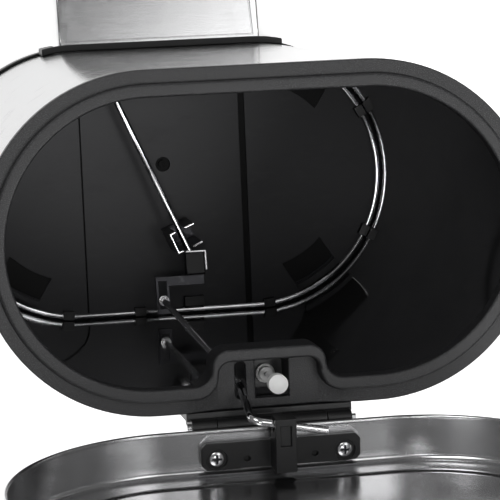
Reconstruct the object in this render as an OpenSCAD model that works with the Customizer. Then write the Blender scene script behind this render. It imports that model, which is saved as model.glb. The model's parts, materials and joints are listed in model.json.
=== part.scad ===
// Step-pedal waste bin with an oval steel body and a hinged lid, drawn with its lid open.
// X runs across the bin, -Y is the front where the pedal is, +Z is up.
// The origin is the centre of the body on the floor.

/* [Body] */
// Overall width across the two rounded ends
body_w = 363; // [300:1:450]
// Overall depth from front to back
body_d = 220; // [180:1:270]
// Height from the floor to the top of the rim
body_h = 440; // [360:1:540]
// Thickness of the steel sheet of the body
shell_t = 1; // [0.8:0.1:1.5]
// How far the steel body stands inside the rim's outline
shell_inset = 1; // [0.5:0.1:2]

/* [Rim collar] */
// Width of the collar, from its outer edge to the opening
rim_w = 17.5; // [14:0.5:22]
// Width of the raised ridge round the opening
ridge_w = 8.5; // [6:0.5:10]
// Height of the ridge above the flange that the lid covers
ridge_h = 4; // [2:0.5:6]
// Thickness of the flange above the top edge of the steel body
flange_t = 8; // [6:0.5:12]
// How far the collar reaches down inside the body
collar_drop = 14; // [8:1:25]
// Thickness of the collar's inner walls
collar_t = 2.5; // [1.5:0.5:3.5]

/* [Rear notch] */
// Half width of the notch where the opening steps in around the mechanism
notch_half_w = 37; // [34:1:46]
// How far the notch reaches into the opening
notch_l = 22.5; // [20:0.5:30]
// Radius of the notch's corners
notch_r = 11; // [8:0.5:11]
// Width of the ridge along the notch's sides
notch_ridge_w = 4; // [3:0.5:5]
// Drop of the deck behind the ridge, measured from the flange
deck_drop = 7; // [5:0.5:7.5]
// Width of the slope from the deck up to the flange, at each side
deck_slope_w = 24; // [16:1:34]
// Thickness of the deck
deck_t = 5; // [3:0.5:7]
// Width of the slot that the push rod comes through
rod_slot_w = 7; // [6.5:0.1:9]
// Wall left between the deck's front edge and the slot and pocket
deck_front_wall = 1.5; // [1:0.5:3]
// Wall left behind the rod slot and the damper pocket
deck_rear_wall = 6; // [4:0.5:6.5]
// Width of the pocket over the damper
pocket_w = 22; // [18:0.5:24]

/* [Base] */
// Clearance of the black base ring under its floor, set by the feet
foot_stand = 1; // [0.5:0.5:3]
// Height of the base ring outside the steel body
base_ring_h = 14; // [10:1:24]
// Height of the ledge that the floor tray lies on
ledge_h = 7; // [5:0.5:12]
// Width of that ledge
ledge_w = 13; // [8:1:18]
// Thickness of the floor tray
tray_t = 3; // [2:0.5:4]
// Width of the centre spine under the tray
spine_w = 26; // [16:1:50]
// Place of the tray's groove and of its fine line, each side of the middle
tray_line_x = 66; // [40:1:80]
// Width of the wide groove in the tray
tray_groove_w = 5; // [2:0.5:6]
// Width of the fine line in the tray
tray_line_w = 1; // [0.6:0.2:2]
// Depth of the groove and the line
tray_groove_depth = 1.8; // [0.8:0.2:1.8]
// Distance of the tray screw in front of the middle
tray_screw_y = 14; // [5:1:40]
// Diameter of the wire hoop that lies round the floor
hoop_d = 4.4; // [3:0.1:6]
// Angle of the four foot windows, from the long axis
foot_angle = 58; // [45:1:62]
// Length of a foot window along the wall
foot_len = 38; // [30:1:54]
// Width of a foot window
foot_w = 19; // [14:1:24]

/* [Pedal] */
// Width of the pedal
pedal_w = 162; // [120:1:180]
// How far the pedal stands out in front of the body
pedal_out = 57; // [40:1:70]
// Height of the tread when the lid is closed
tread_top_z = 34; // [32:0.5:36]
// Corner radius of the tread
tread_r = 18; // [8:1:24]
// Distance of the pedal's pivot behind the front of the body
pivot_back = 35; // [28:1:40]
// Height of the pedal's pivot
pivot_z = 24; // [20:0.5:26]
// Width of the opening in the body for the pedal
opening_w = 172; // [130:1:182]
// Top of the opening for the pedal
opening_top_z = 37; // [36:0.5:44]
// How far the pedal's visor stands out from the body
visor_out = 5.5; // [4:0.5:10]
// Diameter of the lever wire
lever_d = 5; // [4:0.5:6]
// Angle that the pedal turns through between lid open and lid closed
pedal_swing = 10.485; // [8:0.005:12]

/* [Push rod] */
// Diameter of the push rod
rod_d = 5; // [4:0.5:6]
// Place of the rod across the bin, where it comes through the deck
rod_x = 17.5; // [16:0.5:22]
// Place of the rod's foot across the bin
rod_foot_x = 10; // [4:1:16]
// Distance of the rod's foot in front of the back of the body
rod_foot_in = 19; // [17:1:24]
// Height of the rod's foot with the lid open
rod_foot_z = 50; // [48:0.5:54]
// Length of the bent end that passes through the clevis
rod_leg = 49; // [40:1:50]
// How much thicker than the rod its bends are
rod_knuckle = 0.4; // [0.2:0.1:0.8]
// Angle of the bent end to the hinge line
rod_skew = 11.4; // [0:0.2:12]

/* [Damper] */
// Place of the damper, clevis and lid bracket across the bin
damper_x = -3; // [-5:0.5:-1]
// Diameter of the damper's cylinder
damper_d = 9.5; // [8:0.5:12]
// Length of the damper's cylinder
damper_len = 72; // [60:1:90]
// Diameter of the damper's rod
plunger_d = 2.6; // [2:0.1:4]
// Diameter of the damper's knob
knob_d = 12.5; // [9:0.5:14]
// Height of the knob
knob_h = 8; // [6:0.5:10]
// How far the knob stands above the deck with the lid open
knob_stand = 23; // [20:0.5:24]
// Travel of the knob as the lid closes
knob_travel = 27.5; // [20:0.5:27.5]

/* [Hinge] */
// Distance of the hinge line behind the body
hinge_back = 9; // [8.5:0.5:12]
// Height of the hinge line above the lid flange
hinge_up = 2; // [1.5:0.5:4]
// Diameter of the hinge knuckles
knuckle_d = 10; // [8:0.5:10.5]
// Diameter of the hinge pin
hinge_pin_d = 4; // [3:0.5:5]
// Width of the hinge block
hinge_w = 108; // [90:1:116]
// Height of the hinge block
hinge_block_h = 46; // [36:1:60]
// Angle that the lid stands open at
lid_open = 95; // [85:1:98]

/* [Lid] */
// Depth of the lid's side wall
skirt_h = 31; // [26:1:40]
// Thickness of the lid's sheet
lid_t = 1; // [0.8:0.1:1.2]
// How far the lid's wall stands out past the rim
lid_over = 0.5; // [0.3:0.1:1]
// Gap between the lid's rolled edge and the flange
lid_gap = 0.6; // [0.4:0.1:1.5]
// Diameter of the rolled edge
hem_d = 3; // [2:0.5:4]
// Outer radius of the corner between wall and top
lid_corner_r = 5; // [3:0.5:8]
// Rise of the lid's top at the middle
lid_crown = 4; // [2:0.5:8]
// Width of the slope round the lid's raised top
crown_slope_w = 50; // [20:1:70]
// Width of the lid bracket
bracket_w = 103; // [90:1:110]
// Height of the lid bracket
bracket_h = 17.5; // [14:0.5:18]
// Thickness of the lid bracket
bracket_t = 4; // [3:0.5:6]
// Spacing of the two bracket screws
bracket_screw_gap = 83; // [70:1:90]
// Width of the clevis
clevis_w = 13.5; // [11:0.5:15]
// Play of the rod's bent end in the clevis hole
clevis_play = 0.18; // [0.1:0.02:0.6]

/* [Hidden] */
$fn = 96;

steel = "silver";
black = [0.13, 0.13, 0.14];
dark_steel = [0.35, 0.35, 0.37];
white = [0.92, 0.92, 0.9];

gap = 0.3;                      // clearance between pieces that move past each other
seat = 0.15;                    // clearance between pieces that are pushed together
run = 0.05;                     // radial clearance of a pin in its hole
over = 1;                       // how far a cutting shape runs past the face it cuts

rim_r = body_d / 2;
flat = body_w / 2 - rim_r;      // half the length of the straight sides
shell_r = rim_r - shell_inset;
shell_in_r = shell_r - shell_t;
open_r = rim_r - rim_w;
step_r = open_r + ridge_w;
flange_z = body_h - ridge_h;
shell_top_z = flange_z - flange_t;
deck_z = flange_z - deck_drop;

base_z = foot_stand;
ledge_z = base_z + ledge_h;
tray_top = ledge_z + seat + tray_t;
ring_r = shell_r + 2;
ledge_r = shell_in_r - ledge_w;

front_y = -shell_r;
back_y = shell_r;

pivot_y = front_y + pivot_back - 1;
pedal_front_y = front_y - pedal_out;

hinge_y = rim_r + hinge_back;
hinge_z = flange_z + hinge_up;
knuckle_r = knuckle_d / 2;

lid_r = rim_r + lid_over;
lid_in_r = lid_r - lid_t;
lid_edge_z = flange_z + lid_gap;
lid_top_z = lid_edge_z + skirt_h;

// The rod's bent end meets the clevis hole here, with the lid open.
hole_up = 25;
hole_fwd = 2.7;
hole_y = hinge_y - hole_fwd;
hole_z = hinge_z + hole_up;
rod_knee_y = hole_y - (rod_x - damper_x) * tan(rod_skew);
rod_jog_y = rod_knee_y - 16.5;
rod_jog_z = hole_z - 38;
rod_foot_y = back_y - rod_foot_in + 1;

deck_half_w = notch_half_w - notch_ridge_w;
leg_room = 1.4;                 // clearance past the tip of the rod's bent end
slot_y0 = rim_r - rim_w - notch_l + ridge_w - 0.5 + deck_front_wall;
slot_y1 = rim_r - deck_rear_wall;
knob_y = (slot_y0 + slot_y1) / 2 + 0.5;
knob_top_z = deck_z + knob_stand;
damper_top_z = knob_top_z - knob_travel - knob_h - 6;
slot_z = body_h - 140;          // the slot and the pocket are cut upwards from here

// The clevis hole lets the skewed rod through the clevis's whole width.
clevis_hole_d = rod_d / cos(rod_skew) + clevis_w * tan(rod_skew) + clevis_play;

// ---- shared shapes ----

module stadium(r) {
    square([2 * flat, 2 * r], center = true);
    for (s = [-1, 1]) translate([s * flat, 0]) circle(r, $fn = 180);
}

module band(ro, ri, z0, z1) {
    translate([0, 0, z0]) linear_extrude(z1 - z0) difference() {
        stadium(ro);
        stadium(ri);
    }
}

// Carries a profile of (distance from the long axis, height) right round the oval.
module round_oval() {
    for (s = [0, 180]) rotate([0, 0, s]) {
        translate([flat, 0, 0]) rotate([0, 0, -90])
            rotate_extrude(angle = 180, $fn = 180) children();
        translate([-flat, 0, 0]) rotate([90, 0, 90]) linear_extrude(2 * flat) children();
    }
}

// One sector of a band round a rounded end, centred on an angle from the long axis.
module end_sector(ro, ri, angle, half_len, z0, z1) {
    right = abs(angle) < 90;
    a = right ? angle : 180 - angle;
    mirror([right ? 0 : 1, 0, 0]) translate([flat, 0, z0]) rotate([0, 0, a])
        linear_extrude(z1 - z0) intersection() {
            difference() {
                circle(ro, $fn = 180);
                circle(ri, $fn = 180);
            }
            translate([0, -half_len]) square([ro + over, 2 * half_len]);
        }
}

module block(x0, x1, y0, y1, z0, z1) {
    translate([x0, y0, z0]) cube([x1 - x0, y1 - y0, z1 - z0]);
}

// A cylinder along X, from x0 to x1.
module bar_x(x0, x1, y, z, d) {
    translate([x0, y, z]) rotate([0, 90, 0]) cylinder(h = x1 - x0, d = d);
}

// A straight round wire between two points.
module wire(p, q, d) {
    v = q - p;
    l = norm(v);
    translate(p) rotate([0, acos(v[2] / l), atan2(v[1], v[0])]) cylinder(h = l, d = d);
}

function unit(v) = v / norm(v);

// The outline of the notch that steps into the opening at the back.
module notch(half_w, tip_y, base_y, r_tip, r_base) {
    difference() {
        translate([-half_w, tip_y]) square([2 * half_w, base_y - tip_y + over]);
        for (s = [-1, 1]) translate([s * half_w, tip_y]) difference() {
            square(2 * r_tip, center = true);
            translate([-s * r_tip, r_tip]) circle(r_tip);
        }
    }
    for (s = [-1, 1]) translate([s * half_w, base_y - r_base]) difference() {
        translate([s > 0 ? 0 : -r_base, 0]) square([r_base, r_base + over]);
        translate([s * r_base, 0]) circle(r_base);
    }
}

module notch_inner() {
    notch(notch_half_w, open_r - notch_l, open_r, notch_r, notch_l - notch_r);
}

module notch_step() {
    tip_y = open_r - notch_l + ridge_w - 0.5;
    notch(deck_half_w, tip_y, step_r, 8, step_r - tip_y - 8);
}

module open_lid() {
    translate([0, hinge_y, hinge_z]) rotate([-lid_open, 0, 0])
        translate([0, -hinge_y, -hinge_z]) children();
}

module pressed_pedal() {
    translate([0, pivot_y, pivot_z]) rotate([pedal_swing, 0, 0])
        translate([0, -pivot_y, -pivot_z]) children();
}

// ---- body ----

module outer_shell() {
    color(steel) difference() {
        band(shell_r, shell_in_r, ledge_z + seat, shell_top_z);
        block(-opening_w / 2, opening_w / 2, front_y - over, front_y + 40, 0, opening_top_z);
        hinge_screw_places() cylinder(h = 20, d = 4.4, center = true);
    }
}

module base_ring() {
    color(black) difference() {
        union() {
            band(ring_r, ledge_r, base_z, ledge_z);
            band(ring_r, shell_r + seat, ledge_z - 0.01, base_z + base_ring_h);
            block(-spine_w / 2, spine_w / 2, -ledge_r - 2, ledge_r + 2, base_z, ledge_z);
        }
        block(-opening_w / 2, opening_w / 2, -ring_r - over, front_y + 40, ledge_z - 2, 60);
        translate([0, -tray_screw_y, 0]) cylinder(h = 30, d = 3);
    }
}

module floor_tray() {
    color(black) difference() {
        union() {
            translate([0, 0, ledge_z + seat]) linear_extrude(tray_t) stadium(shell_in_r - seat);
            for (a = foot_angles())
                end_sector(foot_ro() + 5, foot_ro() + 1, a, foot_len / 2, tray_top - 0.5,
                    tray_top + 4.5);
        }
        block(-tray_line_x - tray_groove_w / 2, -tray_line_x + tray_groove_w / 2, pivot_y, 200,
            tray_top - tray_groove_depth, tray_top + over);
        block(tray_line_x - tray_line_w / 2, tray_line_x + tray_line_w / 2, pivot_y, 200,
            tray_top - tray_groove_depth, tray_top + over);
        for (a = foot_angles())
            end_sector(foot_ro(), foot_ro() - foot_w, a, foot_len / 2, 0, 40);
        block(-opening_w / 2, opening_w / 2, -200, front_y + 12, 0, 40);
        translate([0, -tray_screw_y, 0]) cylinder(h = 40, d = 3.4);
        translate([0, -tray_screw_y, tray_top - 1.6]) cylinder(h = 10, d = 11.5);
    }
}

function foot_angles() = [foot_angle, -foot_angle, 180 - foot_angle, 180 + foot_angle];
function foot_ro() = shell_in_r - hoop_d - 8;

module tray_screw() {
    color(dark_steel) translate([0, -tray_screw_y, 0]) difference() {
        union() {
            translate([0, 0, tray_top - 1.6]) cylinder(h = 2, d = 7);
            translate([0, 0, base_z + 1]) cylinder(h = tray_top - 1.6 - base_z, d = 2.9);
        }
        for (a = [0, 90]) rotate([0, 0, a])
            translate([0, 0, tray_top + 0.5]) cube([4, 0.9, 2], center = true);
    }
}

module wire_hoop() {
    color(steel) round_oval()
        translate([shell_in_r - hoop_d / 2 - 1, tray_top + hoop_d / 2 + 0.1])
            circle(d = hoop_d, $fn = 32);
}

function clip_angles() = [28, -28, 84, -84, 152, 208, 96, 264];

module hoop_clips() {
    clip_in = hoop_d + 3;
    color(black) difference() {
        union() {
            for (a = clip_angles())
                end_sector(shell_in_r - 0.4, shell_in_r - clip_in, a, 4.5, tray_top + 0.05,
                    tray_top + hoop_d + 2);
            block(20, 29, shell_in_r - clip_in, shell_in_r - 0.4, tray_top + 0.05,
                tray_top + hoop_d + 2);
        }
        round_oval() translate([shell_in_r - hoop_d / 2 - 1, tray_top + hoop_d / 2 + 0.1])
            circle(d = hoop_d + 0.2, $fn = 32);
    }
}

module rubber_feet() {
    color([0.08, 0.08, 0.08]) for (a = foot_angles())
        end_sector(ledge_r - 0.4, foot_ro() - foot_w + 0.4, a, foot_len / 2 - 0.4, 0,
            tray_top - 1.2);
}

// ---- pedal opening ----

module pedal_visor() {
    half = opening_w / 2 + 10;
    color(black) difference() {
        intersection() {
            band(shell_r + visor_out, shell_r + 0.1, base_z + base_ring_h + 0.1, opening_top_z + 5);
            block(-half, half, front_y - 20, front_y + 40, 0, 100);
        }
        block(-opening_w / 2 + 1, opening_w / 2 - 1, front_y - 30, front_y + 40, 0, opening_top_z);
    }
}

// ---- pedal and lever ----

hub_x0 = -30;
hub_x1 = 58;
ear_t = 3;
pivot_pin_d = 4;

module pivot_bracket() {
    ear_top = pivot_z + 6;
    color(dark_steel) difference() {
        union() {
            for (x = [hub_x0 - gap - ear_t, hub_x1 + gap])
                block(x, x + ear_t, pivot_y - 6, pivot_y + 6, tray_top + 0.05, ear_top);
            for (x = [hub_x0 - gap - ear_t - 9, hub_x1 + gap])
                block(x, x + ear_t + 9, pivot_y - 6, pivot_y + 6, tray_top + 0.05, tray_top + 1.5);
        }
        bar_x(-100, 100, pivot_y, pivot_z, pivot_pin_d + 0.1);
    }
}

module pivot_pin() {
    color(steel) {
        bar_x(hub_x0 - ear_t - 3, hub_x1 + ear_t + 3, pivot_y, pivot_z, pivot_pin_d);
        bar_x(hub_x1 + ear_t + 1, hub_x1 + ear_t + 3, pivot_y, pivot_z, pivot_pin_d + 3);
    }
}

module pedal_core() {
    neck = 60;
    color(black) pressed_pedal() difference() {
        union() {
            pedal_plate(1.2, tread_top_z - 7, tread_top_z - 1);
            block(-neck, neck, front_y - 12, pivot_y - 8, tread_top_z - 7, tread_top_z - 2.5);
            block(hub_x0, hub_x1, pivot_y - 9, pivot_y + 4, pivot_z, tread_top_z - 2.5);
            bar_x(hub_x0, hub_x1, pivot_y, pivot_z, 11);
        }
        bar_x(-100, 100, pivot_y, pivot_z, pivot_pin_d + 2 * run);
        wire(lever_start(), lever_end(), lever_d + 0.1);
    }
}

// The tread's outline, drawn in by a margin.
module pedal_plate(margin, z0, z1) {
    half = pedal_w / 2 - margin;
    y0 = pedal_front_y + margin;
    y1 = front_y;
    r = tread_r - margin;
    translate([0, 0, z0]) linear_extrude(z1 - z0) {
        translate([-half, y0 + r]) square([2 * half, y1 - y0 - r]);
        translate([-half + r, y0]) square([2 * half - 2 * r, r + 1]);
        for (s = [-1, 1]) translate([s * (half - r), y0 + r]) circle(r);
    }
}

module pedal_tread() {
    color(steel) pressed_pedal() difference() {
        pedal_plate(0, tread_top_z - 6, tread_top_z);
        pedal_plate(1, tread_top_z - 7, tread_top_z - 0.9);
    }
}

block_w = 15;                   // width of the black block on the lever's end
block_front = 9;                // how far it covers the lever's end

// The lever wire's two ends, with the lid closed. It passes over the pivot pin.
function lever_start() = [50, pivot_y - 20, pivot_z + pivot_pin_d / 2 + lever_d / 2 + 1.5];
function lever_end() = [-18, rod_foot_y - 25, pivot_z - 3];

module lever_wire() {
    color(steel) pressed_pedal() wire(lever_start(), lever_end(), lever_d);
}

module lever_block() {
    e = lever_end();
    color(black) pressed_pedal() difference() {
        block(e[0] - block_w / 2 + 1.5, e[0] + block_w / 2 + 1.5, e[1] - block_front, e[1] + 8,
            e[2] - 5.5, e[2] + 5.5);
        wire(lever_start(), e, lever_d + 0.1);
    }
}

// The plate that lifts the rod: the rod's tip stands in its long hole.
module lever_plate() {
    e = lever_end();
    color(dark_steel) translate([0, pivot_y, pivot_z]) rotate([pedal_swing, 0, 0])
        translate([0, -pivot_y, -pivot_z]) translate([0, 0, plate_drop()]) difference() {
            linear_extrude(2) {
                translate([e[0] - 6, e[1] + 8.2]) square([rod_foot_x - e[0] + 11.5, 8]);
                translate([rod_foot_x - 5.5, e[1] + 8.2]) square([11, 30]);
            }
            translate([rod_foot_x - rod_d / 2 - 0.6, rod_foot_y - 13, -1])
                cube([rod_d + 1.2, 22, 4]);
        }
}

// Height of the plate's underside with the lid closed, just under the rod's foot.
function plate_drop() = pivot_z + (rod_foot_z - pivot_z) * cos(pedal_swing)
    - (rod_foot_y - pivot_y) * sin(pedal_swing) - 2.3;

// A clip of bright sheet round the block's front corner.
module block_clip() {
    e = lever_end();
    t = 1.5;
    x0 = e[0] - block_w / 2 + 1.5 - t - seat;
    y0 = e[1] - block_front - t - seat;
    color(steel) pressed_pedal() difference() {
        block(x0, x0 + block_w + t, y0, y0 + 16, e[2] - 4, e[2] + 6.5);
        block(x0 + t, x0 + 40, y0 + t, y0 + 40, e[2] - 10, e[2] + 10);
        wire(lever_start(), e, lever_d + 0.3);
    }
}

// A bent sheet whose two arms keep the lever in line. Seen from above it is a C, open to -X.
module lever_guide() {
    arm = 9;
    reach = 12.5;
    t = 1.6;
    top = tray_top + 42;
    y = rod_foot_y - 48;
    color(steel) translate([lever_x(y), y, tray_top + 0.05]) rotate([0, 0, lever_yaw()])
        difference() {
            union() {
                block(8, 8 + t, -arm, arm, 0, top - tray_top);
                for (s = [-1, 1])
                    block(-reach, 8 + t, s * (arm - t / 2) - t / 2, s * (arm - t / 2) + t / 2, 0,
                        top - tray_top);
                block(-reach, 8 + t, -arm, arm, 0, t);
            }
            block(-4, 4, -arm - over, arm + over, 8, 100);
        }
}

// Place of the lever across the bin at a distance y from the middle.
function lever_x(y) = lever_end()[0] + (lever_end()[1] - y) * tan(lever_yaw());

// The lever's turn from the bin's front-to-back line, in plan.
function lever_yaw() = atan2(lever_start()[0] - lever_end()[0], lever_end()[1] - lever_start()[1]);

module rod_loop() {
    y = rod_foot_y + 3;
    color(black) difference() {
        block(-28, -12, y, y + 8, tray_top + 0.05, tray_top + 7);
        block(-25.5, -14.5, y - 1, y + 9, tray_top - 1, tray_top + 4.6);
    }
}

// ---- push rod ----

rod_pts = [
    [rod_foot_x, rod_foot_y, rod_foot_z],
    [rod_x, rod_jog_y, rod_jog_z],
    [rod_x, rod_knee_y, hole_z],
    [rod_x - rod_leg, rod_knee_y + rod_leg * tan(rod_skew), hole_z]
];

module push_rod() {
    u = unit(rod_pts[1] - rod_pts[0]);
    color(steel) {
        wire(rod_pts[0] - 7 * u, rod_pts[0] + 3 * u, rod_d - 1);
        for (i = [0 : 2]) wire(rod_pts[i], rod_pts[i + 1], rod_d);
        for (i = [1, 2]) translate(rod_pts[i]) sphere(d = rod_d + rod_knuckle);
    }
}

module rod_collar() {
    u = unit(rod_pts[1] - rod_pts[0]);
    color(steel) difference() {
        wire(rod_pts[0] + 1.6 * u, rod_pts[0] + 3.6 * u, rod_d + 3.5);
        wire(rod_pts[0] - u, rod_pts[0] + 4 * u, rod_d + 0.02);
    }
}

// ---- rim ----

module rim_collar() {
    color([0.1, 0.1, 0.105]) difference() {
        union() {
            translate([0, 0, shell_top_z + 0.1]) linear_extrude(flange_t - 0.1) difference() {
                stadium(rim_r);
                opening();
            }
            translate([0, 0, flange_z - over]) linear_extrude(ridge_h + over) difference() {
                step_outline();
                opening();
            }
            translate([0, 0, shell_top_z - collar_drop]) linear_extrude(collar_drop + over)
                difference() {
                    stadium(shell_in_r - seat);
                    stadium(shell_in_r - seat - collar_t);
                }
            translate([0, 0, shell_top_z - collar_drop]) linear_extrude(collar_drop + over)
                intersection() {
                    stadium(shell_in_r - seat - 1);
                    difference() {
                        notch_inner();
                        translate([0, collar_t]) notch(notch_half_w - collar_t,
                            open_r - notch_l, open_r + 30, notch_r - collar_t, 1);
                    }
                }
            translate([0, 0, deck_z - deck_t]) linear_extrude(deck_t) intersection() {
                stadium(shell_in_r - seat - 1);
                notch_inner();
            }
        }
        deck_hollow();
        // Room for the rod's bent end, which comes down over the deck as the lid closes.
        block(rod_x - rod_leg - leg_room, damper_x, clevis_y() - 7.5, rim_r - 1, deck_z + 0.1,
            body_h + over);
        block(rod_x - rod_slot_w / 2, rod_x + rod_slot_w / 2, slot_y0 + rod_slot_w / 2,
            slot_y1 - rod_slot_w / 2, slot_z, slot_z + 200);
        for (y = [slot_y0 + rod_slot_w / 2, slot_y1 - rod_slot_w / 2])
            translate([rod_x, y, slot_z]) cylinder(h = 200, d = rod_slot_w);
        block(damper_x - pocket_w / 2, damper_x + pocket_w / 2, slot_y0, slot_y1, slot_z,
            slot_z + 200);
    }
}

// What is cut away behind the ridge: a level deck that slopes up to the flange at each side.
module deck_hollow() {
    end_w = deck_half_w + deck_slope_w;
    up = body_h + over;
    intersection() {
        translate([0, 200, 0]) rotate([90, 0, 0]) linear_extrude(200) polygon([
            [-deck_half_w, deck_z], [deck_half_w, deck_z], [end_w, flange_z],
            [end_w, up], [-end_w, up], [-end_w, flange_z]
        ]);
        translate([0, 0, deck_z - over]) linear_extrude(up) difference() {
            translate([-end_w - over, 0]) square([2 * end_w + 2 * over, rim_r + over]);
            step_outline();
        }
    }
}

module opening() {
    difference() {
        stadium(open_r);
        notch_inner();
    }
}

module step_outline() {
    difference() {
        stadium(step_r);
        notch_step();
    }
}

// ---- damper ----

module damper_bracket() {
    x0 = damper_x - pocket_w / 2 - 2;
    x1 = damper_x + pocket_w / 2 + 1.5;
    top = deck_z - deck_t - 0.1;
    z = damper_top_z - 8;
    color(dark_steel) difference() {
        union() {
            block(x0, x1, slot_y0 + 3, slot_y1 - 2, z, z + 1.5);
            block(x0, x0 + 1.5, slot_y0 + 3, slot_y1 - 2, z, top);
            block(x1 - 1.5, x1, slot_y0 + 3, slot_y1 - 2, z, top);
            block(x0, x1, slot_y0 + 3, slot_y1 - 2, z - 40, z - 38.5);
            block(x0, x0 + 1.5, slot_y0 + 3, slot_y1 - 2, z - 40, z + 1);
        }
        translate([damper_x, knob_y, z - 60]) cylinder(h = 100, d = damper_d + 0.1);
    }
}

module damper_cylinder() {
    color([0.45, 0.45, 0.46]) translate([damper_x, knob_y, damper_top_z - damper_len])
        difference() {
            union() {
                cylinder(h = damper_len, d = damper_d);
                translate([0, 0, damper_len - 6.4]) cylinder(h = 3, d = damper_d + 3);
            }
            translate([0, 0, 4]) cylinder(h = damper_len, d = plunger_d + 2 * run);
        }
}

module damper_rod() {
    color(steel) translate([damper_x, knob_y, damper_top_z - damper_len + knob_travel + 7])
        cylinder(h = knob_top_z - knob_h / 2 - (damper_top_z - damper_len + knob_travel + 7),
            d = plunger_d);
}

module damper_knob() {
    color(white) translate([damper_x, knob_y, knob_top_z - knob_h]) difference() {
        union() {
            cylinder(h = knob_h - 1.5, d = knob_d);
            intersection() {
                cylinder(h = knob_h, d = knob_d);
                translate([0, 0, knob_h - 16]) sphere(16, $fn = 120);
            }
        }
        translate([0, 0, -1]) cylinder(h = knob_h / 2 + 1.01, d = plunger_d + 0.02);
    }
}

// ---- hinge ----

module hinge_screw_places() {
    for (x = [-40, 40], z = [9, 25])
        translate([x, back_y, shell_top_z - hinge_block_h + z]) rotate([-90, 0, 0]) children();
}

function fixed_knuckles() = [[-hinge_w / 2 + 2, 16], [-8, 16], [hinge_w / 2 - 18, 16]];
function lid_knuckle_w() = hinge_w / 2 - 26 - 2 * gap;
function lid_knuckles() = [[-hinge_w / 2 + 18 + gap, lid_knuckle_w()], [8 + gap, lid_knuckle_w()]];

module hinge_block() {
    y0 = back_y + seat;
    color(black) difference() {
        union() {
            block(-hinge_w / 2, hinge_w / 2, y0, y0 + 6.8, shell_top_z - hinge_block_h,
                shell_top_z - 0.2);
            block(-hinge_w / 2, hinge_w / 2, rim_r + 0.4, y0 + 6.8, shell_top_z - 4,
                hinge_z - knuckle_r - 1);
            for (k = fixed_knuckles()) {
                block(k[0], k[0] + k[1], y0 + 4.8, hinge_y + knuckle_r, shell_top_z - 14,
                    hinge_z);
                bar_x(k[0], k[0] + k[1], hinge_y, hinge_z, knuckle_d);
            }
        }
        bar_x(-100, 100, hinge_y, hinge_z, hinge_pin_d + 2 * run);
        hinge_screw_places() cylinder(h = 12, d = 3.2, center = true);
        // Room for the leaf's plate behind the rim.
        block(-hinge_w, hinge_w, 0, rim_r + 4.2, hinge_z - knuckle_r - 0.5, hinge_z + 20);
    }
}

module hinge_block_screws() {
    color(steel) hinge_screw_places() {
        translate([0, 0, -shell_t - 2.6]) cylinder(h = 2.4, d = 7.5);
        translate([0, 0, -shell_t - 0.3]) cylinder(h = 6.5, d = 3.1);
    }
}

module hinge_pin() {
    color(steel) {
        bar_x(-hinge_w / 2 - 1, hinge_w / 2 + 1, hinge_y, hinge_z, hinge_pin_d);
        bar_x(hinge_w / 2 - 1.9, hinge_w / 2 + 1, hinge_y, hinge_z, hinge_pin_d + 2);
    }
}

module hinge_leaf() {
    color(black) open_lid() difference() {
        union() {
            for (k = lid_knuckles()) {
                bar_x(k[0], k[0] + k[1], hinge_y, hinge_z, knuckle_d);
                block(k[0], k[0] + k[1], lid_r + 0.1, hinge_y, hinge_z + 0.5,
                    hinge_z + knuckle_r);
            }
            block(damper_x - bracket_w / 2, damper_x + bracket_w / 2, lid_r + 0.1, lid_r + 2.6,
                hinge_z + 6.3, lid_top_z - lid_corner_r);
            for (k = lid_knuckles())
                block(k[0], k[0] + k[1], lid_r + 0.1, lid_r + 2.6, hinge_z + 0.5,
                    hinge_z + 8);
        }
        bar_x(-100, 100, hinge_y, hinge_z, hinge_pin_d + 2 * run);
        bracket_screw_places() cylinder(h = 20, d = 3.2, center = true);
        block(-200, 200, 0, lid_r + hem_d / 2 + 0.6, 0, lid_edge_z + hem_d + 0.4);
    }
}

// ---- lid ----

module bracket_screw_places() {
    z = lid_top_z - lid_corner_r - bracket_h / 2 + 1.5;
    for (s = [-1, 1])
        translate([damper_x + s * bracket_screw_gap / 2, lid_in_r, z]) rotate([90, 0, 0]) children();
}

module lid_profile() {
    edge_r = lid_r - lid_corner_r;
    crown_r = edge_r - crown_slope_w;
    translate([lid_in_r, lid_edge_z + hem_d / 2]) square([lid_t, skirt_h - lid_corner_r - hem_d / 2]);
    translate([lid_in_r - 0.3, lid_edge_z + hem_d / 2]) circle(d = hem_d, $fn = 32);
    translate([edge_r, lid_top_z - lid_corner_r]) intersection() {
        difference() {
            circle(lid_corner_r, $fn = 64);
            circle(lid_corner_r - lid_t, $fn = 64);
        }
        square(lid_corner_r + over);
    }
    translate([0, lid_top_z]) polygon([
        [edge_r, 0], [crown_r, lid_crown], [0, lid_crown],
        [0, lid_crown - lid_t], [crown_r, lid_crown - lid_t], [edge_r, -lid_t]
    ]);
}

module lid_shell() {
    color(steel) open_lid() difference() {
        round_oval() lid_profile();
        bracket_screw_places() cylinder(h = 20, d = 4.2, center = true);
    }
}

plate_clear = 0.19;             // clearance between the bracket plate and the lid's wall
bracket_face_y = lid_in_r - 1.3;

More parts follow.
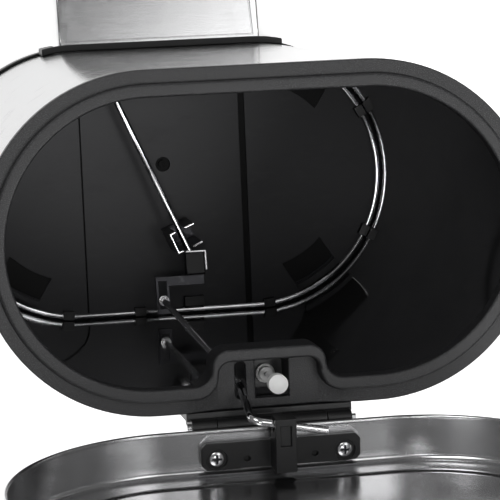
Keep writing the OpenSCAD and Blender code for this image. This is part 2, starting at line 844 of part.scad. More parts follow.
module lid_bracket() {
    z1 = lid_top_z - lid_corner_r - 0.3;
    z0 = z1 - bracket_h;
    y1 = bracket_face_y;
    y0 = y1 - bracket_t;
    half = bracket_w / 2;
    tip_z = hinge_z + 0.5 - 11;
    top_y = hinge_y - hole_up - 7;
    hx = damper_x;
    color(black) open_lid() difference() {
        union() {
            translate([hx, y1, z0]) rotate([90, 0, 0]) linear_extrude(bracket_t)
                difference() {
                    translate([-half, 0]) square([2 * half, bracket_h]);
                    for (sx = [-1, 1], sz = [0, bracket_h])
                        translate([sx * half, sz]) rotate([0, 0, 45])
                            square(4.5, center = true);
                }
            block(hx - clevis_w / 2, hx + clevis_w / 2, top_y, y0 + 0.1, z0 - 6, z1);
            block(hx - clevis_w / 2, hx + clevis_w / 2, top_y, slot_y1 - 2, tip_z, z0 - 5);
        }
        wall_relief();
        bar_x(hx - 20, hx + 20, clevis_y(), clevis_z(), clevis_hole_d);
        block(hx - 3.4, hx + 3.4, top_y - 1, top_y + 2, clevis_z() - 1, clevis_z() + 12);
        bracket_screw_places() {
            cylinder(h = 20, d = 4.2, center = true);
            translate([0, 0, 1.3 + bracket_t - 2]) cylinder(h = 10, d = 13.2);
        }
        for (s = [-1, 1])
            translate([hx + s * 22, y1 - 1, z0 + bracket_h / 2 + 2.5]) rotate([90, 0, 0])
                cylinder(h = 20, d = 3.8);
    }
}

// The clevis hole, in the closed lid.
function clevis_y() = hinge_y - hole_fwd * cos(lid_open) - hole_up * sin(lid_open);
function clevis_z() = hinge_z - hole_fwd * sin(lid_open) + hole_up * cos(lid_open);

// Everything nearer to the closed lid's wall than the plate's clearance.
module wall_relief() {
    translate([0, 0, lid_edge_z]) linear_extrude(skirt_h) difference() {
        stadium(lid_r + 10);
        stadium(lid_in_r - plate_clear);
    }
}

module bracket_plate() {
    z1 = lid_top_z - lid_corner_r - 0.2;
    color(steel) open_lid() difference() {
        translate([damper_x, lid_in_r - plate_clear - 0.01, z1 - bracket_h - 4.5]) rotate([90, 0, 0])
            linear_extrude(1) difference() {
                translate([-bracket_w / 2, 0]) square([bracket_w, bracket_h + 4.5]);
                for (s = [-1, 1]) translate([s * bracket_w / 2, 0]) rotate([0, 0, 45])
                    square(7, center = true);
            }
        bracket_screw_places() cylinder(h = 20, d = 4.2, center = true);
        wall_relief();
    }
}

module bracket_screws() {
    color(steel) open_lid() bracket_screw_places() difference() {
        union() {
            translate([0, 0, 1.3 + bracket_t - 1.9]) cylinder(h = 1, d = 9.5);
            translate([0, 0, 1.3 + bracket_t - 0.91]) intersection() {
                cylinder(h = 3, d = 9.5);
                translate([0, 0, -7.5]) sphere(9, $fn = 96);
            }
            translate([0, 0, -4.5]) cylinder(h = 5 + bracket_t, d = 3.1);
        }
        for (a = [0, 90]) rotate([0, 0, a])
            translate([0, 0, 1.3 + bracket_t + 0.5]) cube([6, 1.4, 3.2], center = true);
    }
}

outer_shell();
base_ring();
floor_tray();
tray_screw();
wire_hoop();
hoop_clips();
rubber_feet();
pedal_visor();
pivot_bracket();
pivot_pin();
lever_guide();
rod_loop();
rim_collar();
damper_bracket();
damper_cylinder();
damper_rod();
damper_knob();
hinge_block();
hinge_block_screws();
hinge_pin();
hinge_leaf();
lid_shell();
lid_bracket();
bracket_plate();
bracket_screws();
pedal_tread();
pedal_core();
lever_wire();
lever_block();
block_clip();
lever_plate();
push_rod();
rod_collar();
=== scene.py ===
"""The looks of an oval step-pedal waste bin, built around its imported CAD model, with the lid open."""

import json
from math import cos, pi, radians, sin, tan

import bmesh
import bpy
from mathutils import Matrix, Vector

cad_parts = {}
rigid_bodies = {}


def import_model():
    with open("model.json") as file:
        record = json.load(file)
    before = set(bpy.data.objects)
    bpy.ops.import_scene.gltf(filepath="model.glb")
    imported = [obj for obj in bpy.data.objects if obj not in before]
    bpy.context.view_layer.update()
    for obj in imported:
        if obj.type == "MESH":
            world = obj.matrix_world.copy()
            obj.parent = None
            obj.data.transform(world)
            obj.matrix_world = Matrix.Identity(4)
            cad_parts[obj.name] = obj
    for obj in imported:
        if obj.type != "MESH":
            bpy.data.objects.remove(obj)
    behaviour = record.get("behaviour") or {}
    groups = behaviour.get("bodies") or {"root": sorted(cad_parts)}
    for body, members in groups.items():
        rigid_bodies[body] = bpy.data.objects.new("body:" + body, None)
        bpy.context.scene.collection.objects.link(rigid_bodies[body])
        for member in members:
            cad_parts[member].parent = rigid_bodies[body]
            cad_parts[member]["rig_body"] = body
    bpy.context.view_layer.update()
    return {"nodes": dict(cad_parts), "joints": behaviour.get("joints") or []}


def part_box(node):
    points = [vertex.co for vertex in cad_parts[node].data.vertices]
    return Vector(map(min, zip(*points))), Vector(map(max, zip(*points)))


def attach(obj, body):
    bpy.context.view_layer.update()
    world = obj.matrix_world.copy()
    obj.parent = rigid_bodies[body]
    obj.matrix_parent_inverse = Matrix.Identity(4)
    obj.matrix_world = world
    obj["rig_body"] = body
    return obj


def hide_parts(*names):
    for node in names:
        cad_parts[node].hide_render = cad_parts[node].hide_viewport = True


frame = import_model()

MM = 0.001
WELD = 0.00001             # points nearer than this are one point
SHARP = radians(32)        # edges that turn more than this are real edges
END_STEPS = 64             # steps round each half-round end of the oval
RIDGE_ROUND = 1.8 * MM     # how much the top of the rim's ridge is rounded
BODY_SHEET = 1 * MM        # thickness of each piece of steel sheet
LID_SHEET = 0.9 * MM
PEDAL_SHEET = 0.8 * MM
BIN_MIDDLE = Vector((0, 0, 0.3))

# ---- sizes, from the frame ----

joints = {j["name"]: j for j in frame["joints"]}
lid_hinge = Vector(joints["lid_hinge"]["pos_m"])
clevis_hole = Vector(joints["rod_pivot"]["pos_m"])
pedal_pivot = Vector(joints["pedal_pivot"]["pos_m"])
lid_turn = -radians(joints["lid_hinge"]["range_deg"][1])
pedal_turn = radians(10.485)    # how far the pedal is pressed while the lid stands open

rim_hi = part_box("rim_collar")[1]
shell_lo, shell_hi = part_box("outer_shell")
rim_r = rim_hi.y
flat = rim_hi.x - rim_r    # half the length of the straight sides
shell_r = shell_hi.y


def turned(pivot, angle):
    """The move that turns a closed lid or a raised pedal to where it stands at rest."""
    return Matrix.Translation(pivot) @ Matrix.Rotation(angle, 4, "X") @ Matrix.Translation(-pivot)


open_lid = turned(lid_hinge, lid_turn)
pressed_pedal = turned(pedal_pivot, pedal_turn)


def box_before(node, move):
    """A CAD node's lowest and highest corners as they were before that move."""
    back = move.inverted()
    points = [back @ v.co for v in frame["nodes"][node].data.vertices]
    return [Vector([pick(p[i] for p in points) for i in range(3)]) for pick in (min, max)]


# ---- shader maths ----


class Signal:
    """A shader socket to calculate with: an expression on signals adds its Math nodes."""

    def __init__(self, paint, socket):
        self.paint = paint
        self.socket = socket

    def maths(self, operation, *values):
        return self.paint.node("ShaderNodeMath", {"operation": operation}, dict(enumerate(values)))

    def __add__(self, other):
        return self.maths("ADD", self, other)

    def __sub__(self, other):
        return self.maths("SUBTRACT", self, other)

    def __rsub__(self, other):
        return self.maths("SUBTRACT", other, self)

    def __mul__(self, other):
        return self.maths("MULTIPLY", self, other)

    __radd__ = __add__
    __rmul__ = __mul__

    def between(self, low, high):
        """0 below low, 1 above high, and smooth between them."""
        return self.paint.node(
            "ShaderNodeMapRange", {"interpolation_type": "SMOOTHSTEP"}, {0: self, 1: low, 2: high}
        )


class Paint:
    """A material with one Principled shader. What is the same all over is set on its own sockets."""

    def __init__(self, name, **fixed):
        self.material = bpy.data.materials.new(name)
        self.material.use_nodes = True
        self.tree = self.material.node_tree
        self.shader = self.tree.nodes["Principled BSDF"]
        for key, value in fixed.items():
            self.shader.inputs[key.replace("_", " ")].default_value = value

    def node(self, kind, settings=None, inputs=None, output=0):
        """Adds a node, sets its settings and then its sockets, and returns one output."""
        made = self.tree.nodes.new(kind)
        for key, value in (settings or {}).items():
            setattr(made, key, value)
        for key, value in (inputs or {}).items():
            if isinstance(value, Signal):
                self.tree.links.new(value.socket, made.inputs[key])
            else:
                made.inputs[key].default_value = value
        return Signal(self, made.outputs[output])

    def set(self, **varying):
        """Links signals to the shader's sockets."""
        for key, value in varying.items():
            self.tree.links.new(value.socket, self.shader.inputs[key.replace("_", " ")])
        return self.material

    def place(self, cell=(1, 1, 1), turn=(0, 0, 0), centre=(0, 0, 0)):
        """The piece's own coordinates, moved and turned back, and counted in cells of that size."""
        own = self.node("ShaderNodeTexCoord", output="Object")
        sizes = {"Vector": own, "Location": centre, "Rotation": turn, "Scale": cell}
        return self.node("ShaderNodeMapping", {"vector_type": "TEXTURE"}, sizes)

    def noise(self, at, detail=2.0, rough=0.5):
        sockets = {"Vector": at, "Scale": 1.0, "Detail": detail, "Roughness": rough}
        return self.node("ShaderNodeTexNoise", None, sockets)

    def blend(self, share, low, high):
        """A colour from low to high, by share."""
        made = self.tree.nodes.new("ShaderNodeMix")
        made.data_type = "RGBA"
        self.tree.links.new(share.socket, made.inputs[0])
        made.inputs[6].default_value = (*low, 1)
        made.inputs[7].default_value = (*high, 1)
        return Signal(self, made.outputs[2])

    def bump(self, height, depth, strength=1.0):
        """A normal from a height signal that is 0 to 1, over that depth in metres."""
        sockets = {"Height": height, "Distance": depth, "Strength": strength}
        return self.node("ShaderNodeBump", None, sockets)


# ---- materials ----


def stainless(name, cell, turn=(0, 0, 0), tone=0.62, rough=0.2, grain=0.1, depth=0.00002):
    """Stainless sheet with a fine brushed grain, faint handling marks and a slightly uneven tone."""
    p = Paint(name, Metallic=1.0)
    lines = p.noise(p.place(cell, turn), 3.0, 0.65)
    broad = p.noise(p.place((0.09, 0.09, 0.14), turn), 2.0, 0.5)
    smears = p.noise(p.place((0.025, 0.03, 0.02), turn), 4.0, 0.6).between(0.52, 0.75)
    low = (tone * 0.93, tone * 0.93, tone * 0.94)
    high = (tone * 1.06, tone * 1.06, tone * 1.07)
    return p.set(
        Base_Color=p.blend(lines * 0.6 + broad * 0.4, low, high),
        Roughness=rough + (lines - 0.5) * grain + smears * 0.05,
        Normal=p.bump(lines, depth),
    )


def inner_steel():
    """The wall's polished inner face: a dark, nearly sharp mirror with faint wipe marks."""
    p = Paint("inner_steel", Metallic=1.0)
    wipes = p.noise(p.place((0.03, 0.03, 0.09)), 3.0, 0.6).between(0.45, 0.8)
    fine = p.noise(p.place((0.001, 0.001, 0.006)), 2.0)
    return p.set(
        Base_Color=p.blend(wipes, (0.46, 0.46, 0.47), (0.38, 0.38, 0.39)),
        Roughness=0.05 + wipes * 0.04 + fine * 0.02,
        Normal=p.bump(fine, 0.000001),
    )


def plated_wire():
    """Bright plated round wire with drawing lines and a few dull spots."""
    p = Paint("plated_wire", Metallic=1.0)
    dull = p.noise(p.place((0.02, 0.02, 0.02)), 3.0, 0.5).between(0.5, 0.85)
    fine = p.noise(p.place((0.0008, 0.0008, 0.0008)), 2.0)
    return p.set(
        Base_Color=p.blend(dull, (0.86, 0.86, 0.87), (0.74, 0.74, 0.75)),
        Roughness=0.08 + dull * 0.06 + fine * 0.03,
        Normal=p.bump(fine, 0.000002),
    )


def zinc_sheet():
    """Bright zinc-plated steel with a faint mottle."""
    p = Paint("zinc_sheet", Metallic=1.0)
    mottle = p.noise(p.place((0.012, 0.012, 0.012)), 3.0, 0.5)
    fine = p.noise(p.place((0.0005, 0.004, 0.0005)), 2.0)
    return p.set(
        Base_Color=p.blend(mottle, (0.66, 0.66, 0.67), (0.76, 0.76, 0.77)),
        Roughness=0.2 + mottle * 0.08,
        Normal=p.bump(fine, 0.00001),
    )


def blackened_steel():
    """Dark plated steel, a little brighter where it has rubbed."""
    p = Paint("blackened_steel", Metallic=0.85)
    rubbed = p.noise(p.place((0.008, 0.008, 0.008)), 4.0, 0.65).between(0.52, 0.8)
    fine = p.noise(p.place((0.0008, 0.0008, 0.0008)), 2.0)
    return p.set(
        Base_Color=p.blend(rubbed, (0.05, 0.05, 0.055), (0.14, 0.14, 0.145)),
        Roughness=0.24 + fine * 0.12,
        Normal=p.bump(fine, 0.00002),
    )


def grained_plastic():
    """Black moulded plastic with a spark-eroded grain; its fine light flecks are painted glints,
    lighter colour standing in for the light the grain catches.
    """
    p = Paint("grained_plastic", Metallic=0.0)
    grain = p.noise(p.place((0.0008, 0.0008, 0.0008)), 2.0, 0.6)
    painted_glints = p.noise(p.place((0.0005, 0.0005, 0.0005)), 1.0).between(0.5, 0.74)
    handled = p.noise(p.place((0.03, 0.03, 0.03)), 3.0)
    return p.set(
        # painted glints: fine flecks of lighter colour scattered through the black
        Base_Color=p.blend(painted_glints, (0.007, 0.007, 0.008), (0.09, 0.09, 0.094)),
        Roughness=0.42 + grain * 0.16 + handled * 0.06,
        Normal=p.bump(grain, 0.0002, 0.9),
    )


def satin_plastic(name, tone, rough):
    """Satin black plastic with a very fine texture and soft scuffs."""
    p = Paint(name, Metallic=0.0)
    fine = p.noise(p.place((0.0006, 0.0006, 0.0006)), 2.0)
    scuffs = p.noise(p.place((0.03, 0.012, 0.02)), 5.0, 0.65).between(0.5, 0.8)
    return p.set(
        Base_Color=p.blend(scuffs, (tone, tone, tone * 1.1), (tone * 1.6, tone * 1.6, tone * 1.7)),
        Roughness=rough + fine * 0.08 + scuffs * 0.08,
        Normal=p.bump(fine, 0.00004, 0.6),
    )


def moulded_plastic(name, tone):
    """Pale moulded plastic with a soft mould texture."""
    p = Paint(name, Metallic=0.0)
    fine = p.noise(p.place((0.0008, 0.0008, 0.0008)), 2.0)
    broad = p.noise(p.place((0.006, 0.006, 0.006)), 2.0)
    low = (tone * 0.92, tone * 0.92, tone * 0.91)
    return p.set(
        Base_Color=p.blend(broad, low, (tone, tone, tone * 0.985)),
        Roughness=0.36 + fine * 0.1,
        Normal=p.bump(fine, 0.00003),
    )


def soft_rubber():
    """Matt black rubber."""
    p = Paint("soft_rubber", Metallic=0.0)
    fine = p.noise(p.place((0.0012, 0.0012, 0.0012)), 3.0)
    return p.set(
        Base_Color=p.blend(fine, (0.01, 0.01, 0.01), (0.02, 0.02, 0.02)),
        Roughness=0.7 + fine * 0.15,
        Normal=p.bump(fine, 0.00008),
    )


def pale_floor():
    """A plain pale studio floor."""
    p = Paint("pale_floor", Emission_Color=(1, 1, 1, 1), Emission_Strength=0.75)
    broad = p.noise(p.place((0.5, 0.5, 0.5)), 2.0)
    return p.set(
        Base_Color=p.blend(broad, (0.89, 0.89, 0.89), (0.91, 0.91, 0.91)), Roughness=0.7 + broad * 0.1
    )


lid_slope = (lid_turn, 0, 0)
pedal_slope = (pedal_turn, 0, 0)
FINISH = {
    "shell_steel": stainless("shell_steel", (0.0004, 0.0004, 0.03), tone=0.37, rough=0.14),
    "lid_steel": stainless("lid_steel", (0.03, 0.0004, 0.0004), lid_slope, 0.66, 0.2, 0.12),
    "pedal_steel": stainless("pedal_steel", (0.03, 0.0003, 0.0003), pedal_slope, 0.66, 0.17, 0.16),
    "inner_steel": inner_steel(),
    "wire": plated_wire(),
    "zinc": zinc_sheet(),
    "dark_steel": blackened_steel(),
    "grained": grained_plastic(),
    "satin": satin_plastic("satin_plastic", 0.005, 0.36),
    # near-black plastic; in the floor tray it is painted shade on the bottoms of the groove and screw
    # recess
    "deep_black": satin_plastic("black_and_painted_shade_plastic", 0.001, 0.7),
    "floor_black": satin_plastic("floor_plastic", 0.032, 0.46),
    "grey": moulded_plastic("grey_plastic", 0.6),
    "white": moulded_plastic("white_plastic", 0.84),
    "rubber": soft_rubber(),
}

# ---- mesh tools ----


def weld(bm):
    bmesh.ops.remove_doubles(bm, verts=bm.verts, dist=WELD)


def round_edges(bm, width, segments=3, chosen=lambda edge: True):
    """Rounds the real edges of a closed shape."""
    edges = [
        e for e in bm.edges
        if len(e.link_faces) == 2 and e.calc_face_angle(0) > SHARP and chosen(e)
    ]
    bmesh.ops.bevel(
        bm, geom=edges, offset=width, offset_type="OFFSET", segments=segments, profile=0.5,
        affect="EDGES", clamp_overlap=False, material=-1,
    )


def piece(bm, name, finish, body, replaces=(), modifiers=()):
    """Makes the finished piece that rides on a body and stands for CAD nodes."""
    mesh = bpy.data.meshes.new(name)
    bm.to_mesh(mesh)
    bm.free()
    mesh.shade_smooth()
    mesh.set_sharp_from_angle(angle=SHARP)
    made = bpy.data.objects.new(name, mesh)
    bpy.context.scene.collection.objects.link(made)
    for part in [finish] if isinstance(finish, str) else finish:
        mesh.materials.append(FINISH[part])
    for kind, settings in modifiers:
        m = made.modifiers.new(kind.lower(), kind)
        for key, value in settings.items():
            setattr(m, key, value)
    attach(made, body)
    if replaces:
        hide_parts(*replaces)
    return made


FLAT_FACES = ("WEIGHTED_NORMAL", {"mode": "FACE_AREA", "keep_sharp": True})


def moulded(node, width, finish):
    """The CAD node's own shape with its edges rounded, as moulding and pressing leave them."""
    bm = bmesh.new()
    bm.from_mesh(frame["nodes"][node].data)
    weld(bm)
    if node == "rim_collar":
        crest = rim_hi.z - 0.1 * MM
        round_edges(bm, width, 3, lambda edge: min(v.co.z for v in edge.verts) < crest)
        round_edges(bm, RIDGE_ROUND, 5, lambda edge: min(v.co.z for v in edge.verts) > crest)
    else:
        round_edges(bm, width)
    body = frame["nodes"][node]["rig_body"]
    return piece(bm, node + "_form", finish, body, [node], [FLAT_FACES])


def arc(centre_r, centre_z, radius, start, end, steps):
    """Points of an arc in a profile. Angles are in degrees, from outwards towards up."""
    angles = [radians(start + (end - start) * i / steps) for i in range(steps + 1)]
    return [(centre_r + radius * cos(a), centre_z + radius * sin(a)) for a in angles]


def oval(bm, profile, closed=False):
    """Carries a profile of (distance from the long axis, height) right round the oval."""
    points = [bm.verts.new((flat, -r, z)) for r, z in profile]
    pairs = zip(points, points[1:] + points[:1] if closed else points[1:])
    edges = [bm.edges.new(pair) for pair in pairs]
    for side in (1, -1):
        last = bmesh.ops.spin(
            bm, geom=edges, cent=(side * flat, 0, 0), axis=(0, 0, 1), angle=pi,
            steps=END_STEPS, use_duplicate=False,
        )["geom_last"]
        edges = [e for e in last if isinstance(e, bmesh.types.BMEdge)]
        pulled = bmesh.ops.extrude_edge_only(bm, edges=edges)["geom"]
        ends = [v for v in pulled if isinstance(v, bmesh.types.BMVert)]
        bmesh.ops.translate(bm, verts=ends, vec=(-side * 2 * flat, 0, 0))
        edges = [e for e in pulled if isinstance(e, bmesh.types.BMEdge)]
    weld(bm)
    bmesh.ops.recalc_face_normals(bm, faces=bm.faces)


def rod(bm, points, radius, bend_r, sides=24, chamfer=0.5 * MM):
    """A round bar along points, bent to a radius at each inner point, with chamfered ends."""
    points = [Vector(p) for p in points]
    heading = [(b - a).normalized() for a, b in zip(points, points[1:])]
    turn = [a.angle(b) for a, b in zip(heading, heading[1:])]
    cut = [0] + [bend_r * tan(t / 2) for t in turn] + [0]
    ring = bmesh.ops.create_circle(bm, cap_ends=False, segments=sides, radius=radius - chamfer)["verts"]
    stand = heading[0].to_track_quat("Z", "Y").to_matrix().to_4x4()
    bmesh.ops.transform(bm, verts=ring, matrix=Matrix.Translation(points[0]) @ stand)
    edges = list({e for v in ring for e in v.link_edges})
    bmesh.ops.contextual_create(bm, geom=edges)

    def pull(edges, move, grow=1.0, centre=None):
        pulled = bmesh.ops.extrude_edge_only(bm, edges=edges)["geom"]
        ends = [v for v in pulled if isinstance(v, bmesh.types.BMVert)]
        bmesh.ops.translate(bm, verts=ends, vec=move)
        if centre:
            bmesh.ops.transform(
                bm, verts=ends,
                matrix=Matrix.Translation(centre) @ Matrix.Scale(grow, 4) @ Matrix.Translation(-centre),
            )
        return [e for e in pulled if isinstance(e, bmesh.types.BMEdge)]

    grow = radius / (radius - chamfer)
    edges = pull(edges, heading[0] * chamfer, grow, points[0] + heading[0] * chamfer)
    for i, way in enumerate(heading):
        start = chamfer if i == 0 else cut[i]
        stop = chamfer if i == len(heading) - 1 else cut[i + 1]
        length = (points[i + 1] - points[i]).length - start - stop
        edges = pull(edges, way * length)
        if i < len(heading) - 1:
            side = (heading[i + 1] - heading[i + 1].dot(way) * way).normalized()
            centre = points[i + 1] - way * cut[i + 1] + side * bend_r
            last = bmesh.ops.spin(
                bm, geom=edges, cent=centre, axis=way.cross(side), angle=turn[i],
                steps=max(4, round(turn[i] / radians(6))), use_duplicate=False,
            )["geom_last"]
            edges = [e for e in last if isinstance(e, bmesh.types.BMEdge)]
    edges = pull(edges, heading[-1] * chamfer, 1 / grow, points[-1])
    bmesh.ops.contextual_create(bm, geom=edges)
    weld(bm)
    bmesh.ops.recalc_face_normals(bm, faces=bm.faces)


# ---- camera ----


def add_camera():
    """A long lens above the mouth, looking down and a little towards the hinge."""
    data = bpy.data.cameras.new("camera")
    data.sensor_width = 36
    data.lens = 172.56
    camera = bpy.data.objects.new("camera", data)
    camera.location = (0.2801, -0.1767, 1.9200)
    camera.rotation_euler = (radians(-6.519), radians(-10.629), radians(177.595))
    bpy.context.scene.collection.objects.link(camera)
    bpy.context.scene.camera = camera


# ---- body ----


def outer_shell():
    """The oval steel wall, with the opening for the pedal cut from its front."""
    bm = bmesh.new()
    oval(bm, [(shell_r, shell_lo.z), (shell_r, shell_hi.z)])
    visor_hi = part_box("pedal_visor")[1]
    side_cover = 10 * MM
    top_cover = 5 * MM
    half = visor_hi.x - side_cover
    top = visor_hi.z - top_cover
    cuts = [((half, 0, 0), (1, 0, 0)), ((-half, 0, 0), (1, 0, 0)), ((0, 0, top), (0, 0, 1))]
    for point, normal in cuts:
        everything = list(bm.verts) + list(bm.edges) + list(bm.faces)
        bmesh.ops.bisect_plane(bm, geom=everything, dist=WELD, plane_co=point, plane_no=normal)
    hole = [
        f for f in bm.faces
        if abs(f.calc_center_median().x) < half and f.calc_center_median().y < 0
        and f.calc_center_median().z < top
    ]
    bmesh.ops.delete(bm, geom=hole, context="FACES")
    sheet = ("SOLIDIFY", {"thickness": BODY_SHEET, "offset": -1, "material_offset": 1})
    finishes = ("shell_steel", "inner_steel")
    piece(
        bm, "body_wall", finishes, "bin", ["outer_shell"], [sheet, FLAT_FACES]
    )


def wire_hoop():
    """The wire hoop round the floor."""
    lo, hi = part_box("wire_hoop")
    r = (hi.z - lo.z) / 2
    bm = bmesh.new()
    ring = arc(hi.y - r, lo.z + r, r, 0, 360, 24)[:-1]
    oval(bm, ring, closed=True)
    piece(bm, "floor_hoop", "wire", "bin", ["wire_hoop"])


# ---- lid ----


def lid_shell():
    """The pressed lid: a crowned panel with a step round it, a rounded corner and a rolled edge."""
    lo, hi = box_before("lid_shell", open_lid)
    hem_r = 1.5 * MM
    corner_r = 5 * MM
    border_w = 15 * MM
    step_w = 5 * MM
    step_h = 1.6 * MM
    wall_inset = 0.2 * MM
    hem_inset = 1.3 * MM
    wall_r = hi.x - flat - wall_inset
    edge_r = wall_r - corner_r
    panel_r = edge_r - border_w - step_w
    border_z = hi.z - 4 * MM
    crown = 4 * MM - step_h
    profile = [(panel_r * i / 16, hi.z - crown * (i / 16) ** 2) for i in range(17)]
    profile += [
        (panel_r + step_w * i / 6, border_z + step_h * (1 + cos(pi * i / 6)) / 2) for i in range(1, 7)
    ]
    profile += arc(edge_r, border_z - corner_r, corner_r, 90, 0, 8)
    profile += [(wall_r, lo.z + hem_r)]
    bm = bmesh.new()
    oval(bm, profile)
    bmesh.ops.transform(bm, verts=bm.verts, matrix=open_lid)
    sheet = ("SOLIDIFY", {"thickness": LID_SHEET, "offset": -1})
    piece(bm, "lid_pan", "lid_steel", "lid", ["lid_shell"], [sheet, FLAT_FACES])
    bm = bmesh.new()
    oval(bm, arc(wall_r - hem_inset, lo.z + hem_r, hem_r, 0, 360, 20)[:-1], closed=True)
    bmesh.ops.transform(bm, verts=bm.verts, matrix=open_lid)
    piece(bm, "lid_rolled_edge", "lid_steel", "lid")


# ---- pedal and rods ----


def pedal_tread():
    """The pedal's pressed steel cover, with a folded edge and a shallow panel."""
    lo, hi = box_before("pedal_tread", pressed_pedal)
    corner_r = 18 * MM
    fold_r = 2.2 * MM
    bm = bmesh.new()
    sides = [(lo.x, hi.y), (lo.x, lo.y), (hi.x, lo.y), (hi.x, hi.y)]
    bm.faces.new([bm.verts.new((x, y, hi.z)) for x, y in sides])
    front = [v for v in bm.verts if v.co.y < (lo.y + hi.y) / 2]
    bmesh.ops.bevel(
        bm, geom=front, offset=corner_r, offset_type="OFFSET", segments=14, profile=0.5,
        affect="VERTICES", material=-1,
    )
    top = bm.faces[:]
    skirt = bmesh.ops.extrude_face_region(bm, geom=top)["geom"]
    low = [v for v in skirt if isinstance(v, bmesh.types.BMVert)]
    bmesh.ops.translate(bm, verts=low, vec=(0, 0, lo.z - hi.z))
    bmesh.ops.delete(bm, geom=[f for f in skirt if isinstance(f, bmesh.types.BMFace)], context="FACES")
    bmesh.ops.recalc_face_normals(bm, faces=bm.faces)
    up = [f for f in bm.faces if f.normal.z > 0.9 or f.normal.z < -0.9]
    rim = list({e for f in up for e in f.edges})
    bmesh.ops.bevel(
        bm, geom=rim, offset=fold_r, offset_type="OFFSET", segments=5, profile=0.5,
        affect="EDGES", material=-1,
    )
    panel = max(bm.faces, key=lambda f: f.calc_area())
    border = ((4.5, 0), (0.4, -0.8), (0.8, 0), (0.4, 0.5))    # (width, rise) of each step, in mm
    for thickness, depth in border:
        bmesh.ops.inset_region(bm, faces=[panel], thickness=thickness * MM, depth=depth * MM)
    bmesh.ops.transform(bm, verts=bm.verts, matrix=pressed_pedal)
    sheet = ("SOLIDIFY", {"thickness": PEDAL_SHEET, "offset": -1})
    piece(
        bm, "pedal_cover", "pedal_steel", "pedal", ["pedal_tread"], [sheet, FLAT_FACES]
    )


def push_rod():
    """The upright rod from the lever to the lid, bent over to pass through the clevis."""
    lo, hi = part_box("push_rod")
    collar_lo, collar_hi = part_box("rod_collar")
    radius = 2.5 * MM
    bend_r = 7.5 * MM
    knuckle = 0.2 * MM        # how far the CAD rod's bends stand past its wire
    tip_inset = 0.5 * MM
    foot_drop = 9 * MM
    skew = tan(radians(11.4))
    rise = 38 * MM
    back = 16.5 * MM
    x = hi.x - radius - knuckle
    knee = Vector((x, clevis_hole.y - (x - clevis_hole.x) * skew, clevis_hole.z))
    jog = knee + Vector((0, -back, -rise))
    end_x = lo.x + tip_inset
    end = Vector((end_x, knee.y + (x - end_x) * skew, knee.z))
    middle = (collar_lo + collar_hi) / 2
    foot = middle + (middle - jog).normalized() * foot_drop
    bm = bmesh.new()
    rod(bm, [foot, jog, knee, end], radius, bend_r)
    piece(bm, "lift_rod", "wire", "push_rod", ["push_rod"])


def bracket_screws():
    """The two pan heads in the lid, with painted shade: their cross recesses take the dark steel
    finish, standing in for the shade in them.
    """
    made = moulded("bracket_screws", 0.12 * MM, "zinc")
    made.data.materials.append(FINISH["dark_steel"])
    lo, hi = box_before("bracket_screws", open_lid)
    head_r = (hi.z - lo.z) / 2
    cross_r = 3.3 * MM
    cross_depth = 2.4 * MM
    dome_h = 1.1 * MM
    back = open_lid.inverted()
    for face in made.data.polygons:
        centre = back @ face.center
        axis_x = lo.x + head_r if centre.x < (lo.x + hi.x) / 2 else hi.x - head_r
        off = Vector((centre.x - axis_x, centre.z - lo.z - head_r)).length
        depth = centre.y - lo.y
        sideways = (back.to_3x3() @ face.normal).y > -0.6
        # painted shade: faces inside the cross recess are given the dark steel finish
        if off < cross_r and depth < cross_depth and (sideways or depth > dome_h):
            face.material_index = 1


def lever_guide():
    """The dark guide on the floor, with a painted highlight: its top millimetre takes the bright plated
    finish, standing in for the highlights along its top edges.
    """
    made = moulded("lever_guide", 0.3 * MM, "dark_steel")
    made.data.materials.append(FINISH["wire"])
    painted_highlight_h = 1 * MM
    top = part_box("lever_guide")[1].z
    # painted highlight: faces in the top millimetre take the bright plated finish
    for face in made.data.polygons:
        if face.center.z > top - painted_highlight_h:
            face.material_index = 1


def floor_tray():
    """The floor tray, with painted shade: the bottoms of its groove and its screw recess take a
    near-black finish, standing in for the shade in them.
    """
    made = moulded("floor_tray", 0.3 * MM, "floor_black")
    made.data.materials.append(FINISH["deep_black"])
    lip_h = 4.5 * MM
    shallowest = 1 * MM
    deepest = 2.5 * MM
    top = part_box("floor_tray")[1].z - lip_h
    for face in made.data.polygons:
        # painted shade: the floors of the groove and of the screw recess are made near black
        if face.normal.z > 0.5 and shallowest < top - face.center.z < deepest:
            face.material_index = 1


def rubber_feet():
    """The four feet, which fill their windows in the floor tray."""
    bm = bmesh.new()
    bm.from_mesh(frame["nodes"]["rubber_feet"].data)
    weld(bm)
    bm.normal_update()
    gap = 0.38 * MM
    for v in bm.verts:
        sideways = Vector((v.normal.x, v.normal.y, 0)).normalized()
        bmesh.ops.translate(bm, verts=[v], vec=sideways * gap)
    piece(bm, "soft_feet", "rubber", "bin", ["rubber_feet"])


# ---- the rest of the pieces keep their CAD shape, with rounded edges ----

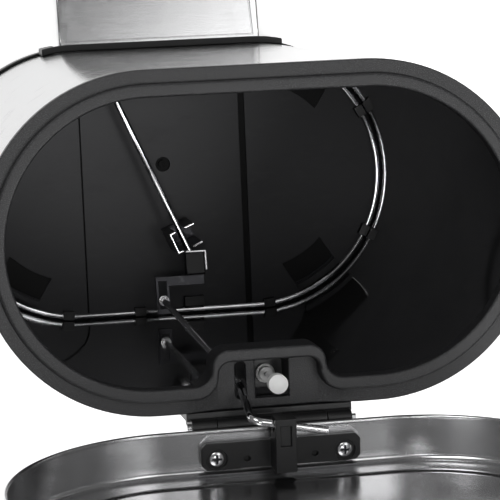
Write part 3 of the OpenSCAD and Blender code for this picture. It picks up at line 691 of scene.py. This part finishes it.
MOULDED = {
    "rim_collar": (0.8, "grained"),
    "base_ring": (0.6, "satin"),
    "hoop_clips": (0.35, "satin"),
    "pedal_visor": (1.0, "satin"),
    "pivot_bracket": (0.4, "dark_steel"),
    "rod_loop": (0.4, "satin"),
    "damper_bracket": (0.3, "satin"),
    "damper_cylinder": (0.4, "grey"),
    "hinge_block": (0.5, "satin"),
    "hinge_leaf": (0.4, "satin"),
    "lid_bracket": (0.5, "satin"),
    "bracket_plate": (0.3, "zinc"),
    "pedal_core": (0.6, "satin"),
    "lever_block": (0.8, "satin"),
    "block_clip": (0.3, "zinc"),
    "lever_plate": (0.4, "dark_steel"),
    "rod_collar": (0.3, "zinc"),
}
KEPT = {
    "tray_screw": "deep_black",
    "pivot_pin": "zinc",
    "damper_rod": "wire",
    "damper_knob": "white",
    "hinge_block_screws": "zinc",
    "hinge_pin": "zinc",
    "lever_wire": "wire",
}


def give_finish(node, finish):
    """Gives a CAD node that stays as it is its material."""
    mesh = frame["nodes"][node].data
    mesh.materials.clear()
    mesh.materials.append(FINISH[finish])


# ---- studio ----


def add_floor():
    bm = bmesh.new()
    bmesh.ops.create_grid(bm, x_segments=2, y_segments=2, size=6)
    mesh = bpy.data.meshes.new("studio_floor")
    bm.to_mesh(mesh)
    bm.free()
    mesh.materials.append(pale_floor())
    floor = bpy.data.objects.new("studio_floor", mesh)
    bpy.context.scene.collection.objects.link(floor)


def add_light(name, place, size, power):
    """A rectangular softbox that faces the middle of the bin."""
    data = bpy.data.lights.new(name, "AREA")
    data.shape = "RECTANGLE"
    data.size, data.size_y = size
    data.energy = power
    light = bpy.data.objects.new(name, data)
    light.location = place
    light.rotation_euler = (BIN_MIDDLE - Vector(place)).to_track_quat("-Z", "Y").to_euler()
    bpy.context.scene.collection.objects.link(light)


def add_studio():
    world = bpy.data.worlds.new("studio")
    world.use_nodes = True
    sky = world.node_tree.nodes["Background"]
    sky.inputs["Color"].default_value = (1, 1, 1, 1)
    sky.inputs["Strength"].default_value = 0.13
    bpy.context.scene.world = world
    bpy.context.scene.view_settings.view_transform = "Standard"
    add_light("softbox_back", (-0.75, 0.6, 2.4), (0.9, 0.9), 24)
    add_light("softbox_top", (-0.78, -0.8, 2.4), (0.8, 1.1), 5)
    add_light("softbox_mouth", (0.3, 0.15, 2.6), (0.5, 0.5), 6)
    add_light("softbox_front", (0.9, -1.6, 2.0), (1.2, 0.8), 15)


add_camera()
outer_shell()
wire_hoop()
lid_shell()
pedal_tread()
push_rod()
bracket_screws()
lever_guide()
floor_tray()
rubber_feet()
for node, (width, finish) in MOULDED.items():
    moulded(node, width * MM, finish)
for node, finish in KEPT.items():
    give_finish(node, finish)
add_floor()
add_studio()
